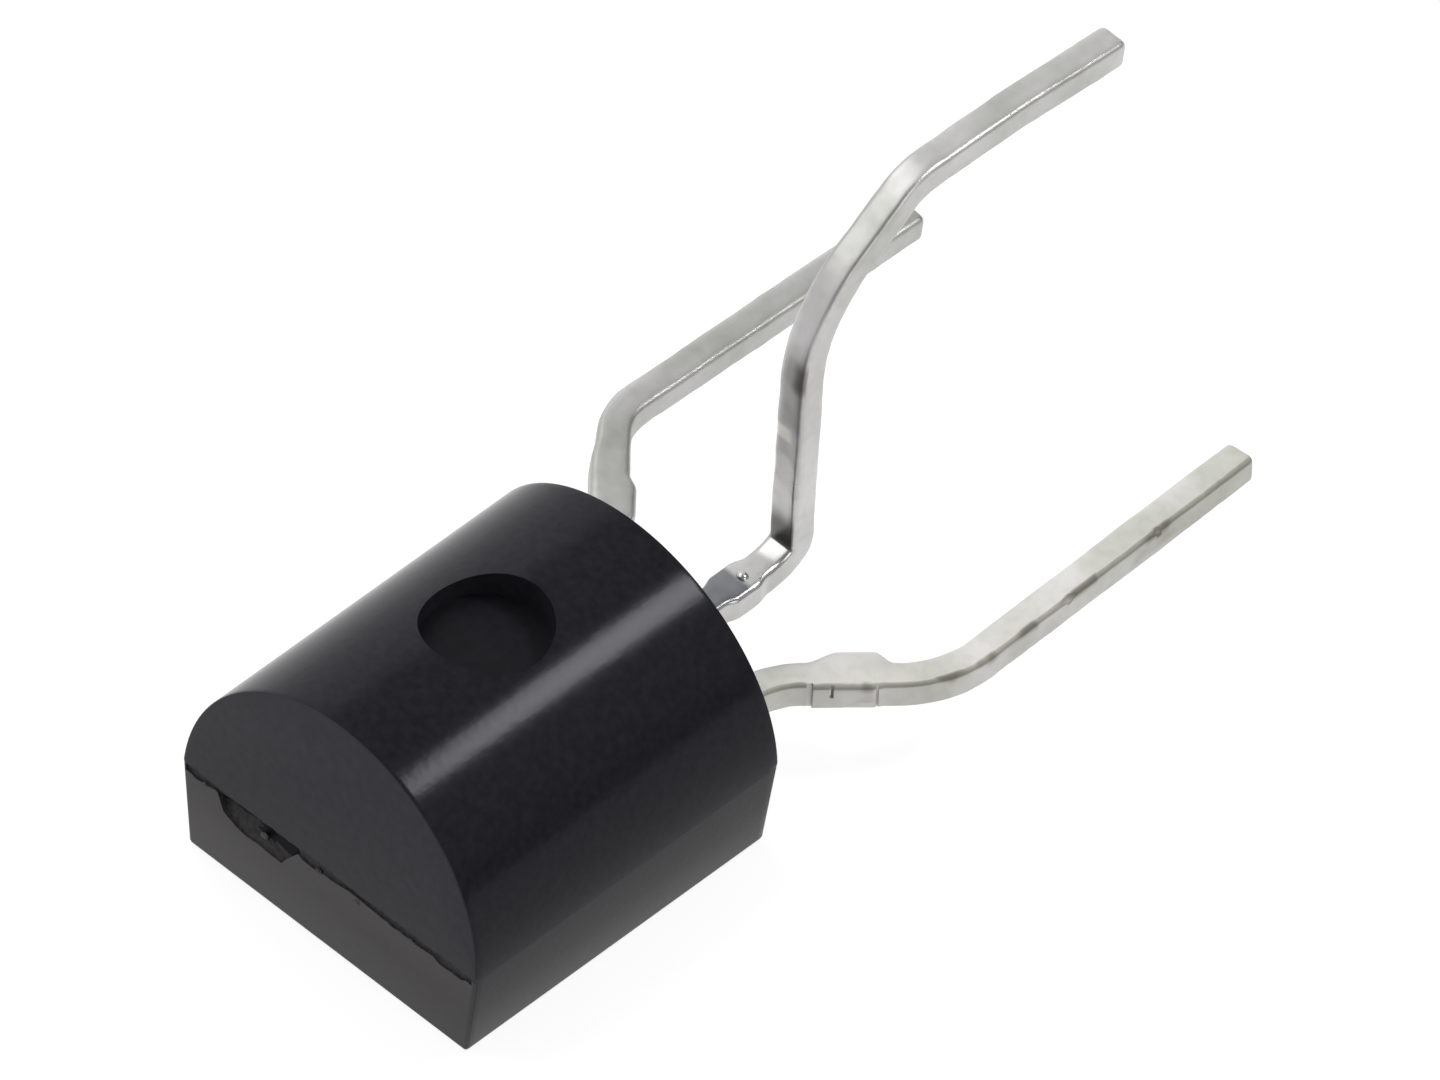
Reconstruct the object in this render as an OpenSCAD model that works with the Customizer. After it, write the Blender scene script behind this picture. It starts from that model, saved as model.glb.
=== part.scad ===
// Triac in a TO-92 (SOT54) package: a D-shaped moulded body, three formed leads, and the chip inside.
// Millimetres. The part lies on its flat face: +Z is up through the round side, +Y runs along the
// leads, and the origin is the centre of the flat face.

/* [Body] */
// Width of the body at the parting line
body_w = 4.7; // [4.6:0.02:4.74]
// Length of the body at the parting line, along the leads
body_l = 4.92; // [4.8:0.02:4.98]
// Depth of the body, from the flat face to the crown of the round side
body_d = 3.64; // [3.5:0.02:3.8]
// Radius of the round side
crown_r = 2.38; // [2.37:0.01:2.44]
// Height of the parting line above the flat face
parting_h = 1.19; // [1.14:0.01:1.25]
// Lean of each flank, from the parting line in to the flat face
flank_draft = 0.12; // [0.02:0.01:0.2]
// Lean of each end, from the parting line in to the flat face
base_draft = 0.04; // [0.01:0.01:0.1]
// Lean of each end, from the parting line in to the crown
crown_draft = 0.1; // [0.02:0.01:0.2]
// Ledge where the lower half of the mould is smaller than the upper half
mould_step = 0.03; // [0.01:0.01:0.06]
// Radius of the lower half's edges
base_edge_r = 0.11; // [0.06:0.01:0.18]

/* [Moulding marks] */
// Diameter of the dimple that the ejector pin leaves in the round side
dimple_d = 1.58; // [1.2:0.02:1.8]
// Depth of the dimple below the crown
dimple_depth = 0.45; // [0.2:0.05:0.5]
// Width of the scar where the moulding gate was broken off
gate_scar_w = 1.3; // [0.8:0.05:1.6]
// Height of the gate scar, down from the parting line
gate_scar_h = 0.26; // [0.15:0.01:0.4]
// Depth of the gate scar
gate_scar_depth = 0.05; // [0.02:0.01:0.1]
// Distance of the gate scar from the body's middle, towards main terminal 1
gate_scar_offset = 1.15; // [0:0.05:1.3]

/* [Leads] */
// Distance between neighbouring leads where they leave the body
lead_pitch = 1.27; // [1.24:0.01:1.3]
// Width of a lead
lead_w = 0.4; // [0.38:0.01:0.44]
// Thickness of the lead frame
lead_t = 0.38; // [0.36:0.01:0.42]
// Radius of the plated edges of a lead
lead_edge_r = 0.06; // [0.03:0.01:0.1]
// Drop of the lead frame's middle plane below the parting line
frame_drop = 0.05; // [0:0.01:0.15]
// Slant of the sheared end of a lead, in degrees
shear_slant = 3; // [0:1:15]
// Radius to which the shears roll over the edges of that end
shear_roll = 0.09; // [0.05:0.01:0.12]

/* [Dam bar stubs] */
// Distance along a lead from the body's end to the cut dam bar
dam_from = 1.36; // [1.32:0.01:1.39]
// Length of the stubs that the cut left on the outer leads
dam_l = 0.82; // [0.7:0.01:0.9]
// Length of the stubs on the middle lead, which turns up right behind them
middle_dam_l = 0.68; // [0.6:0.01:0.7]
// Length over which a stub widens from the lead's side
stub_slope = 0.24; // [0.15:0.01:0.28]
// Reach of the largest stub
stub_reach = 0.13; // [0.08:0.01:0.18]

/* [Outer leads] */
// Angle by which the outer leads splay out
splay_angle = 43; // [38:1:45]
// Straight stretch between the body and the splay
root_straight = 0.48; // [0.4:0.01:0.51]
// Bend radius at the root of the splay
root_bend_r = 1.1; // [1:0.05:1.15]
// Distance of lead 1 from the middle, where its splay ends
spread_1 = 2.84; // [2.7:0.01:2.9]
// Distance of lead 3 from the middle, where its splay ends
spread_3 = 2.69; // [2.6:0.01:2.8]
// Bend radius at the end of lead 1's splay
bend_r_1 = 0.8; // [0.5:0.05:1]
// Bend radius at the end of lead 3's splay
bend_r_3 = 1.4; // [1:0.05:1.5]
// Angle at which the outer leads run back towards each other
toe_in = 1.5; // [0:0.1:3]
// Distance of lead 1's end from the body's middle
reach_1 = 9.86; // [9:0.02:12]
// Distance of lead 3's end from the body's middle
reach_3 = 9.88; // [9:0.02:12]

/* [Middle lead] */
// Distance from the body's middle at which the middle lead turns straight up
rise_y = 5.07; // [5.04:0.01:5.3]
// Radius of the upward turn
rise_bend_r = 0.5; // [0.4:0.01:0.53]
// Height of the upright stretch above the lead frame
rise_l = 2.87; // [2:0.01:4]
// Radius of the long bend above it
crest_bend_r = 1.9; // [1.5:0.1:2.5]
// Angle of the long bend
crest_angle = 54; // [45:1:60]
// Length of the slanted stretch
slant_l = 0.78; // [0.4:0.02:1]
// Radius of the bend that levels the lead
level_bend_r = 0.8; // [0.5:0.05:1]
// Angle of the bend that levels the lead
level_angle = 37; // [30:1:45]
// Length of the level stretch
level_l = 1.28; // [0.8:0.02:2]
// Radius of the final droop
droop_bend_r = 4; // [3:0.1:6]
// Angle of the final droop
droop_angle = 4; // [1:1:8]
// Length of the last straight stretch
end_l = 1.53; // [0.5:0.02:3]

/* [Chip and bond wires] */
// Side of the square chip
chip_side = 1.3; // [1:0.05:1.5]
// Thickness of the chip
chip_t = 0.24; // [0.18:0.01:0.3]
// Thickness of the solder under the chip
solder_t = 0.04; // [0.03:0.01:0.08]
// Diameter of the gate's bond wire
gate_wire_d = 0.12; // [0.1:0.01:0.15]
// Diameter of the main terminal's bond wire
main_wire_d = 0.2; // [0.15:0.01:0.25]
// Rise of the bond wires above the chip
wire_rise = 0.45; // [0.4:0.05:0.8]

/* [Hidden] */

frame_z = parting_h - frame_drop;
frame_top = frame_z + lead_t / 2;
lead_size = [lead_w, lead_t];
upright_size = [lead_t, lead_w];
bend_thinning = 0.01;
bend_lap = 0.01;
stub_lap = 0.02;
body_end = body_l / 2;
dimple_at = [-0.09, 0.06];
edge_fn = 32;
round_fn = 96;

// The flag carries the chip on lead 3, and reaches across under it.
flag_w = 2.5;
flag_from = -1.9;
flag_to = 0.3;
flag_corner = 0.25;
flag_x = lead_pitch + lead_w / 2 - flag_w / 2;
lock_hole_r = 0.2;

// The posts are the broad inner ends of leads 1 and 2, which take the wires.
post_from = 0.62;
post_l = 0.75;
post_w_1 = 0.85;
post_w_2 = 0.6;
anchor_y = 1.85;
anchor_r = 0.1;

chip_x = flag_x - 0.1;
chip_y = -0.85;
solder_margin = 0.06;
chip_z = frame_top + solder_t;
chip_top = chip_z + chip_t;
moat_w = 0.06;
moat_depth = 0.04;
pad_gap = 0.08;
pad_t = 0.01;
gate_pad = 0.36;

gate_wire_from = [chip_x + chip_side / 2 - moat_w - gate_pad / 2,
                  chip_y + chip_side / 2 - moat_w - gate_pad / 2];
gate_wire_to = [0, post_from + 0.3];
main_wire_from = [chip_x - 0.25, chip_y];
main_wire_to = [-lead_pitch + 0.05, post_from + 0.35];

function arc(c, r, a0, a1, steps = 5) =
    [for (i = [0:steps]) c + r * [cos(a0 + (a1 - a0) * i / steps), sin(a0 + (a1 - a0) * i / steps)]];

// ---------- moulded body ----------

// A mould half seen from the end or from the side: straight to the parting line, leaning in to a
// base edge that is rounded off in two flats.
module lower_outline(top_half, bottom_half) {
    r = base_edge_r;
    polygon(concat(
        [[top_half, parting_h]],
        [[-top_half, parting_h]],
        arc([-bottom_half + r, r], r, 180, 270, 2),
        arc([bottom_half - r, r], r, 270, 360, 2)));
}

module along_y(l) rotate([90, 0, 0]) linear_extrude(l, center = true) children();
module along_x(l) rotate([90, 0, 90]) linear_extrude(l, center = true) children();

module lower_half() {
    w = body_w / 2 - mould_step;
    l = body_l / 2 - mould_step;
    difference() {
        intersection() {
            along_y(body_l) lower_outline(w, body_w / 2 - flank_draft);
            along_x(body_w) lower_outline(l, body_l / 2 - base_draft);
        }
        for (sx = [-1, 1]) for (sy = [-1, 1])
            corner_cutter(sx, sy, w, l);
    }
}

// What is cut from an upright corner of the lower half, to leave a round that leans with its faces.
module corner_cutter(sx, sy, w, l) {
    r = base_edge_r;
    inset = 0.9 * r;
    lean_x = atan((w - body_w / 2 + flank_draft) / parting_h);
    lean_y = atan((l - body_l / 2 + base_draft) / parting_h);
    translate([sx * (w - inset), sy * (l - inset), parting_h])
        rotate([-sy * lean_y, sx * lean_x, 0])
            difference() {
                translate([sx > 0 ? 0 : -r * 2, sy > 0 ? 0 : -r * 2, -parting_h * 1.5])
                    cube([r * 2, r * 2, parting_h * 2]);
                cylinder(h = parting_h * 4, r = r, center = true, $fn = edge_fn);
            }
}

module upper_half() {
    rise = body_d - parting_h;
    intersection() {
        along_y(body_l * 2) intersection() {
            translate([0, body_d - crown_r]) circle(crown_r, $fn = round_fn);
            translate([-body_w / 2, parting_h]) square([body_w, rise * 2]);
        }
        along_x(body_w * 2) polygon([
            [-body_l / 2, parting_h], [body_l / 2, parting_h],
            [body_l / 2 - 2 * crown_draft, parting_h + 2 * rise],
            [-body_l / 2 + 2 * crown_draft, parting_h + 2 * rise]]);
    }
}

module dimple() {
    translate([dimple_at.x, dimple_at.y, body_d - dimple_depth])
        cylinder(h = body_d, d = dimple_d, $fn = round_fn);
}

// The broken gate leaves a shallow bite under the parting line, with a stepped lower edge.
module gate_scar() {
    y = -body_l / 2 + mould_step + gate_scar_depth;
    translate([-gate_scar_offset, y, parting_h])
        rotate([90, 0, 0]) linear_extrude(1) polygon([
            [-gate_scar_w / 2, 0], [gate_scar_w / 2, 0],
            [gate_scar_w * 0.42, -gate_scar_h], [gate_scar_w * 0.05, -gate_scar_h * 0.8],
            [-gate_scar_w * 0.25, -gate_scar_h * 0.75], [-gate_scar_w * 0.42, -gate_scar_h * 0.35]]);
}

module moulded_body() color([0.13, 0.13, 0.14]) {
    difference() {
        union() {
            lower_half();
            upper_half();
        }
        dimple();
        gate_scar();
        lead_main_terminal_1();
        lead_gate();
        lead_main_terminal_2();
        chip_solder();
        triac_chip();
        gate_bond_wire();
        main_terminal_bond_wire();
    }
}

// ---------- leads ----------
// A lead is laid out stretch by stretch. Each stretch starts at the origin, runs along +Y, and
// places what follows it at its own end.

module lead_section(size) {
    r = lead_edge_r;
    square([size.x - 2 * r, size.y], center = true);
    square([size.x, size.y - 2 * r], center = true);
    for (sx = [-1, 1]) for (sy = [-1, 1])
        translate([sx * (size.x / 2 - r), sy * (size.y / 2 - r)]) circle(r, $fn = edge_fn);
}

module straight(l, size = lead_size) {
    rotate([-90, 0, 0]) linear_extrude(l) lead_section(size);
    translate([0, l, 0]) children();
}

// A bend towards +X. It is a hair slimmer than the straight stretches and laps into both of them.
module bend(r, a, size = lead_size) {
    lap = bend_lap / r * 180 / PI;
    translate([r, 0, 0]) rotate([0, 0, 180 - a - lap])
        rotate_extrude(angle = a + 2 * lap, $fn = round_fn)
            translate([r, 0]) lead_section(size - [bend_thinning, bend_thinning]);
    translate([r * (1 - cos(a)), r * sin(a), 0]) rotate([0, 0, -a]) children();
}

// A bend towards -X.
module bend_back(r, a, size = lead_size) {
    mirror([1, 0, 0]) bend(r, a, size) mirror([1, 0, 0]) children();
}

// The stretch where the dam bar was cut off, with a sheared stub on each side.
module dam_stretch(l, outer_reach, inner_reach) {
    straight(l) children();
    stub(l, outer_reach);
    mirror([1, 0, 0]) stub(l, inner_reach);
}

// A stub widens from the lead's side in a slope, up to the face that the shears left.
module stub(l, reach) {
    root = lead_w / 2 - lead_edge_r - stub_lap;
    side = lead_w / 2;
    height = lead_t - stub_lap;
    translate([0, 0, -height / 2]) linear_extrude(height) polygon([
        [root, 0], [side, 0], [side + reach, stub_slope],
        [side + reach, l - stub_slope], [side, l], [root, l]]);
}

// The shears leave the end of a lead slanted, with its upper side the longer, and roll its edges over.
module sheared_end(l) {
    r = shear_roll;
    h = lead_t / 2;
    past = 0.005;
    intersection() {
        straight(l + r);
        along_x(2) translate([l, h]) rotate(-shear_slant) polygon(concat(
            [[-2 * l, -2 * lead_t], [-r, -2 * lead_t]],
            arc([-r, r - 2 * h - past], r, 270, 360),
            arc([-r, past - r], r, 0, 90),
            [[-r, lead_t], [-2 * l, lead_t]]));
    }
}

// An outer lead from the inner end of its straight root, splaying towards +X.
module outer_lead(inner_y, spread, bend_r, reach, outer_stub, inner_stub) {
    root_l = body_end + root_straight - inner_y;
    splay_x = lead_pitch + root_bend_r * (1 - cos(splay_angle));
    splay_y = body_end + root_straight + root_bend_r * sin(splay_angle);
    corner_l = (spread - splay_x) / sin(splay_angle);
    corner_y = splay_y + corner_l * cos(splay_angle);
    tangent = bend_r * tan((splay_angle + toe_in) / 2);
    before_dam = dam_from - root_straight - root_bend_r * splay_angle * PI / 180;
    translate([lead_pitch, inner_y, frame_z])
        straight(root_l)
        bend(root_bend_r, splay_angle)
        straight(before_dam)
        dam_stretch(dam_l, outer_stub, inner_stub)
        straight(corner_l - tangent - before_dam - dam_l)
        bend_back(bend_r, splay_angle + toe_in)
        sheared_end((reach - corner_y) / cos(toe_in) - tangent);
}

// A plate of the lead frame, given its outline.
module frame_plate() {
    translate([0, 0, frame_z - lead_t / 2]) linear_extrude(lead_t) children();
}

// Two round bites in the sides of a lead, which the moulding compound fills.
module anchor_notches(x) {
    for (s = [-1, 1])
        translate([x + s * lead_w / 2, anchor_y, frame_z])
            cylinder(h = 2 * lead_t, r = anchor_r, center = true, $fn = edge_fn);
}

module post(x, w) {
    c = w / 4;
    frame_plate() translate([x, post_from]) polygon([
        [-w / 2 + c, 0], [w / 2 - c, 0], [w / 2, c], [w / 2, post_l - c],
        [lead_w / 2, post_l], [-lead_w / 2, post_l], [-w / 2, post_l - c], [-w / 2, c]]);
}

tin = [0.8, 0.8, 0.78];

module lead_main_terminal_1() color(tin) {
    difference() {
        union() {
            mirror([1, 0, 0])
                outer_lead(post_from + post_l / 2, spread_1, bend_r_1, reach_1, 0.06, 0.08);
            post(-lead_pitch, post_w_1);
        }
        anchor_notches(-lead_pitch);
    }
}

module lead_main_terminal_2() color(tin) {
    difference() {
        union() {
            outer_lead(flag_to - lead_w, spread_3, bend_r_3, reach_3, 0.03, stub_reach);
            flag();
        }
        anchor_notches(lead_pitch);
        translate([flag_x, flag_from + 2 * lock_hole_r, frame_z])
            cylinder(h = 2 * lead_t, r = lock_hole_r, center = true, $fn = edge_fn);
    }
}

module flag() {
    c = flag_corner;
    frame_plate() polygon([
        [flag_x - flag_w / 2 + c, flag_from], [flag_x + flag_w / 2 - c, flag_from],
        [flag_x + flag_w / 2, flag_from + c], [flag_x + flag_w / 2, flag_to],
        [flag_x - flag_w / 2, flag_to], [flag_x - flag_w / 2, flag_from + c]]);
}

// The middle lead turns up past its dam bar, then curves over and runs level.
module lead_gate() color(tin) {
    inner_y = post_from + post_l / 2;
    flat_l = rise_y - rise_bend_r - inner_y;
    to_dam = body_end + dam_from - inner_y;
    difference() {
        union() {
            translate([0, inner_y, frame_z]) {
                straight(to_dam)
                dam_stretch(middle_dam_l, 0.05, 0.06)
                straight(flat_l - to_dam - middle_dam_l)
                rotate([0, -90, 0])
                bend(rise_bend_r, 90, upright_size)
                straight(rise_l - rise_bend_r, upright_size)
                bend_back(crest_bend_r, crest_angle, upright_size)
                straight(slant_l, upright_size)
                bend_back(level_bend_r, level_angle, upright_size)
                straight(level_l, upright_size)
                bend_back(droop_bend_r, droop_angle, upright_size)
                rotate([0, 90, 0]) sheared_end(end_l);
            }
            post(0, post_w_2);
        }
        anchor_notches(0);
    }
}

// ---------- chip, solder and bond wires ----------

module chip_solder() color([0.55, 0.55, 0.56]) {
    side = chip_side + 2 * solder_margin;
    translate([chip_x, chip_y, frame_top]) linear_extrude(solder_t) square(side, center = true);
}

// A planar chip: a glassed moat round its edge, and two raised metal pads on top.
module triac_chip() color([0.35, 0.36, 0.4]) {
    inner = chip_side - 2 * moat_w;
    translate([chip_x, chip_y, chip_z]) {
        linear_extrude(chip_t - moat_depth) square(chip_side, center = true);
        linear_extrude(chip_t - pad_t) square(inner, center = true);
        linear_extrude(chip_t) chip_pads(inner);
    }
}

module chip_pads(inner) {
    corner = inner / 2 - gate_pad;
    difference() {
        square(inner, center = true);
        translate([corner - pad_gap, corner - pad_gap]) square(inner);
    }
    translate([corner, corner]) square(gate_pad);
}

// A wire from the chip up, over and down to a post, with a flattened foot at each end.
module bond_wire(from, to, d) {
    run = to - from;
    span = norm(run);
    turn = wire_rise / 2;
    up_l = wire_rise - turn;
    down_l = up_l + chip_top - frame_top;
    translate([from.x, from.y, chip_top]) rotate([0, 0, atan2(run.y, run.x)]) {
        wire_foot(d);
        cylinder(h = up_l, d = d, $fn = edge_fn);
        translate([turn, 0, up_l]) wire_turn(turn, d, 90);
        translate([turn, 0, wire_rise]) rotate([0, 90, 0])
            cylinder(h = span - 2 * turn, d = d, $fn = edge_fn);
        translate([span - turn, 0, up_l]) wire_turn(turn, d, 0);
        translate([span, 0, up_l - down_l]) {
            wire_foot(d);
            cylinder(h = down_l, d = d, $fn = edge_fn);
        }
    }
}

module wire_turn(r, d, start) {
    rotate([90, 0, 0]) rotate([0, 0, start])
        rotate_extrude(angle = 90, $fn = round_fn) translate([r, 0]) circle(d = d, $fn = edge_fn);
}

module wire_foot(d) cylinder(h = d / 2, d = 2 * d, $fn = edge_fn);

module gate_bond_wire() color([0.85, 0.7, 0.35]) bond_wire(gate_wire_from, gate_wire_to, gate_wire_d);

module main_terminal_bond_wire() color([0.82, 0.82, 0.83])
    bond_wire(main_wire_from, main_wire_to, main_wire_d);

moulded_body();
lead_main_terminal_1();
lead_gate();
lead_main_terminal_2();
chip_solder();
triac_chip();
gate_bond_wire();
main_terminal_bond_wire();
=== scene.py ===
"""A triac in a small D-shaped moulded package, lying on its flat face with its leads formed.

Metres. +Z is up through the round side, +Y runs along the leads, and the origin is the centre of
the flat face.
"""

import math
import random

import bmesh
import bpy
from mathutils import Matrix, Vector


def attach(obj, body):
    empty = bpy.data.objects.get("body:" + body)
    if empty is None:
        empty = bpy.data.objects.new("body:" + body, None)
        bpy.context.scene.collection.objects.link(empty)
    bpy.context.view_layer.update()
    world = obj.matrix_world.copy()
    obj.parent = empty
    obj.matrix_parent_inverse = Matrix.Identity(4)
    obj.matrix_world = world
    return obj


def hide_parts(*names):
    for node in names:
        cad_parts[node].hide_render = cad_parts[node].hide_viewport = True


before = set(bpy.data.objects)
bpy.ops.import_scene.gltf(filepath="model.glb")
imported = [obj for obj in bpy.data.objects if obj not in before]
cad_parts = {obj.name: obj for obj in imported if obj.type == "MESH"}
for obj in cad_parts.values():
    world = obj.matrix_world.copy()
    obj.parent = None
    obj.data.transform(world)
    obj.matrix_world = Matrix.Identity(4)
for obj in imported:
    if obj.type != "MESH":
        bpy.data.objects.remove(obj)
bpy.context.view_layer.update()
MM = 0.001


# ---------- Floor and light ----------
# The part lies on a plain white table that keeps a faint soft shadow. The surroundings are dark,
# with three broad pale patches where walls would be. A small lamp hangs close above and behind
# the part, and two wide dim ones hang to its left and right.

def new_piece(primitive, **how):
    """Add a primitive and give its object."""
    bpy.ops.object.select_all(action="DESELECT")
    primitive(**how)
    return bpy.context.object


def new_material(name):
    """A material with an empty node tree and its output."""
    material = bpy.data.materials.new(name)
    material.use_nodes = True
    nodes = material.node_tree.nodes
    nodes.clear()
    return material, nodes, material.node_tree.links, nodes.new("ShaderNodeOutputMaterial")


def calculate(nodes, links, operation, *values):
    """The result of a math node over sockets and numbers."""
    node = nodes.new("ShaderNodeMath")
    node.operation = operation
    for place, value in zip(node.inputs, values):
        if isinstance(value, (int, float)):
            place.default_value = value
        else:
            links.new(value, place)
    return node.outputs[0]


def ramp(nodes, links, value, start, stop, low=0.0, high=1.0, curve="SMOOTHSTEP"):
    """The result of a map range node that takes start and stop to low and high."""
    node = nodes.new("ShaderNodeMapRange")
    node.interpolation_type = curve
    node.inputs["From Min"].default_value = start
    node.inputs["From Max"].default_value = stop
    node.inputs["To Min"].default_value = low
    node.inputs["To Max"].default_value = high
    links.new(value, node.inputs["Value"])
    return node.outputs["Result"]


FLOOR_DIFFUSE = 0.25
FLOOR_GLOW = 0.86

floor = new_piece(bpy.ops.mesh.primitive_plane_add, size=2.0, location=(0, 0, 0))
floor.name = "table"
floor_white, nodes, links, output = new_material("white_table")
light_path = nodes.new("ShaderNodeLightPath").outputs
seen = calculate(nodes, links, "MAXIMUM", light_path["Is Camera Ray"], light_path["Is Glossy Ray"])
seen = calculate(nodes, links, "MAXIMUM", seen, light_path["Is Transmission Ray"])
table_paint = nodes.new("ShaderNodeBsdfDiffuse")
table_paint.inputs["Color"].default_value = (FLOOR_DIFFUSE, FLOOR_DIFFUSE, FLOOR_DIFFUSE, 1)
glow = nodes.new("ShaderNodeEmission")
links.new(calculate(nodes, links, "MULTIPLY", seen, FLOOR_GLOW), glow.inputs["Strength"])
both = nodes.new("ShaderNodeAddShader")
links.new(table_paint.outputs[0], both.inputs[0])
links.new(glow.outputs[0], both.inputs[1])
links.new(both.outputs[0], output.inputs["Surface"])
floor.data.materials.append(floor_white)

ROOM_DARK = 0.1
# Each wall: the direction of its middle, the cosines where it begins and is full, its brightness.
WALLS = (((-0.785, 0.503, 0.362), 0.6, 0.95, 0.88),
         ((-0.55, -0.62, 0.56), 0.55, 0.9, 0.62),
         ((0.7, 0.5, 0.51), 0.9, 0.98, 0.3))

world = bpy.data.worlds.new("studio")
bpy.context.scene.world = world
world.use_nodes = True
nodes, links = world.node_tree.nodes, world.node_tree.links
nodes.clear()
direction = nodes.new("ShaderNodeTexCoord")
lit = ROOM_DARK
for middle_at, edge_at, full_at, brightness in WALLS:
    towards_wall = nodes.new("ShaderNodeVectorMath")
    towards_wall.operation = "DOT_PRODUCT"
    towards_wall.inputs[1].default_value = middle_at
    links.new(direction.outputs["Generated"], towards_wall.inputs[0])
    wall = ramp(nodes, links, towards_wall.outputs["Value"], edge_at, full_at, 0.0, brightness)
    lit = calculate(nodes, links, "ADD", lit, wall)
world_path = nodes.new("ShaderNodeLightPath")
world_mix = nodes.new("ShaderNodeMix")
world_mix.data_type = "RGBA"
links.new(lit, world_mix.inputs["A"])
world_mix.inputs["B"].default_value = (1, 1, 1, 1)
links.new(world_path.outputs["Is Camera Ray"], world_mix.inputs["Factor"])
background = nodes.new("ShaderNodeBackground")
links.new(world_mix.outputs["Result"], background.inputs["Color"])
world_out = nodes.new("ShaderNodeOutputWorld")
links.new(background.outputs[0], world_out.inputs["Surface"])


def placing(across, along, back, place):
    """The matrix that lays a lamp's or camera's own axes along the given directions."""
    return Matrix(((across.x, along.x, back.x, place.x),
                   (across.y, along.y, back.y, place.y),
                   (across.z, along.z, back.z, place.z),
                   (0, 0, 0, 1)))


def soft_lamp(name, direction, distance, width, length, power, along):
    """A rectangular lamp that faces the part, its long side lying along the given direction."""
    data = bpy.data.lights.new(name, "AREA")
    data.shape = "RECTANGLE"
    data.size, data.size_y = width, length
    data.energy = power
    lamp = bpy.data.objects.new(name, data)
    bpy.context.scene.collection.objects.link(lamp)
    back = Vector(direction).normalized()
    long_side = (Vector(along) - back * Vector(along).dot(back)).normalized()
    lamp.matrix_world = placing(long_side.cross(back), long_side, back, back * distance)


soft_lamp("strip_lamp", (0.29, 0.5, 0.813), 0.0408, 0.008, 0.0085, 0.0044, (0.3, 1, 0))
soft_lamp("left_lamp", (-0.5, -0.2, 0.85), 0.2, 0.1, 0.2, 0.11, (0, 1, 0))
soft_lamp("right_lamp", (0.9, -0.1, 0.42), 0.2, 0.1, 0.1, 0.08, (0, 1, 0))


# ---------- Camera ----------
# A long lens looks down at the part's near end from its right, from so far away that parallel
# edges stay almost parallel.

AZIMUTH, ELEVATION, ROLL = math.radians(41.81), math.radians(46.97), math.radians(3.69)
LENS, SENSOR = 1100.0, 36
NEAREST_SEEN, FARTHEST_SEEN = 0.01, 10
VIEW_WIDTH = 16.491 * MM
POINTS_PER_MM = 87.32
AIM = (394.0 / POINTS_PER_MM * MM, 408.0 / POINTS_PER_MM * MM)
AIM_ORIGIN_Y = -2.46 * MM
AIM_DEPTH = -2.0 * MM

right = Vector((math.cos(AZIMUTH), math.sin(AZIMUTH), 0))
back = Vector((math.sin(AZIMUTH) * math.cos(ELEVATION), -math.cos(AZIMUTH) * math.cos(ELEVATION),
               math.sin(ELEVATION)))
up = back.cross(right)
image_right = right * math.cos(ROLL) + up * math.sin(ROLL)
image_up = up * math.cos(ROLL) - right * math.sin(ROLL)
camera_data = bpy.data.cameras.new("camera")
camera_data.sensor_width = SENSOR
camera_data.lens = LENS
camera_data.clip_start, camera_data.clip_end = NEAREST_SEEN, FARTHEST_SEEN
camera = bpy.data.objects.new("camera", camera_data)
bpy.context.scene.collection.objects.link(camera)
distance = VIEW_WIDTH * LENS / camera_data.sensor_width
centre = (image_right * AIM[0] + image_up * AIM[1] + back * AIM_DEPTH
          + Vector((0, AIM_ORIGIN_Y, 0)))
camera.matrix_world = placing(image_right, image_up, back, centre + back * distance)
bpy.context.scene.camera = camera
bpy.context.scene.view_settings.view_transform = "Standard"


# ---------- Moulded body ----------
# The body is black epoxy compound, moulded in two halves round the lead frame. The round side and
# the flanks are glossy and flow into each other. The ends are duller, and the parting line shows
# there. Light from the table is painted onto the lower flanks and ends, and shade is painted onto
# the dimple floor and the top of the gate bite.

BODY_WIDTH, BODY_LENGTH, BODY_DEPTH = 4.7 * MM, 4.92 * MM, 3.64 * MM
CROWN_RADIUS = 2.38 * MM
PARTING_MM = 1.28
PARTING = PARTING_MM * MM
FLAT_WIDTH, FLAT_LENGTH = 4.46 * MM, 4.84 * MM
CROWN_DRAFT = 0.1 * MM
END = BODY_LENGTH / 2
BASE_EDGE = 0.07 * MM
RIM_SHARE = 0.25
HAIR = 0.0001 * MM
BODY_SLICES = (-2.3, -1.4, -0.5, 0.5, 1.4, 2.3)


def only(piece):
    """Make one piece the only picked one, and the active one."""
    bpy.ops.object.select_all(action="DESELECT")
    bpy.context.view_layer.objects.active = piece
    piece.select_set(True)


def edit(piece, mode="FACE"):
    """Open one piece alone in edit mode, with nothing picked."""
    if bpy.context.mode != "OBJECT":
        bpy.ops.object.mode_set(mode="OBJECT")
    only(piece)
    bpy.ops.object.mode_set(mode="EDIT")
    bpy.ops.mesh.select_mode(type=mode)
    bpy.ops.mesh.select_all(action="DESELECT")


def pick(piece, kind, test):
    """Pick the faces, edges or vertices of the open piece that pass a test, and no others."""
    bpy.ops.mesh.select_all(action="DESELECT")
    mesh = bmesh.from_edit_mesh(piece.data)
    for item in getattr(mesh, kind):
        if test(item):
            item.select_set(True)
    mesh.select_flush_mode()
    bmesh.update_edit_mesh(piece.data)


def fix_place(piece):
    """Put the piece's place into its mesh."""
    only(piece)
    bpy.ops.object.transform_apply(location=True, rotation=True, scale=True)


def bisect(place, facing, **how):
    """Slice the open piece with a plane."""
    bpy.ops.mesh.select_all(action="SELECT")
    bpy.ops.mesh.bisect(plane_co=place, plane_no=Vector(facing).normalized(), threshold=HAIR,
                        **how)


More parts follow.
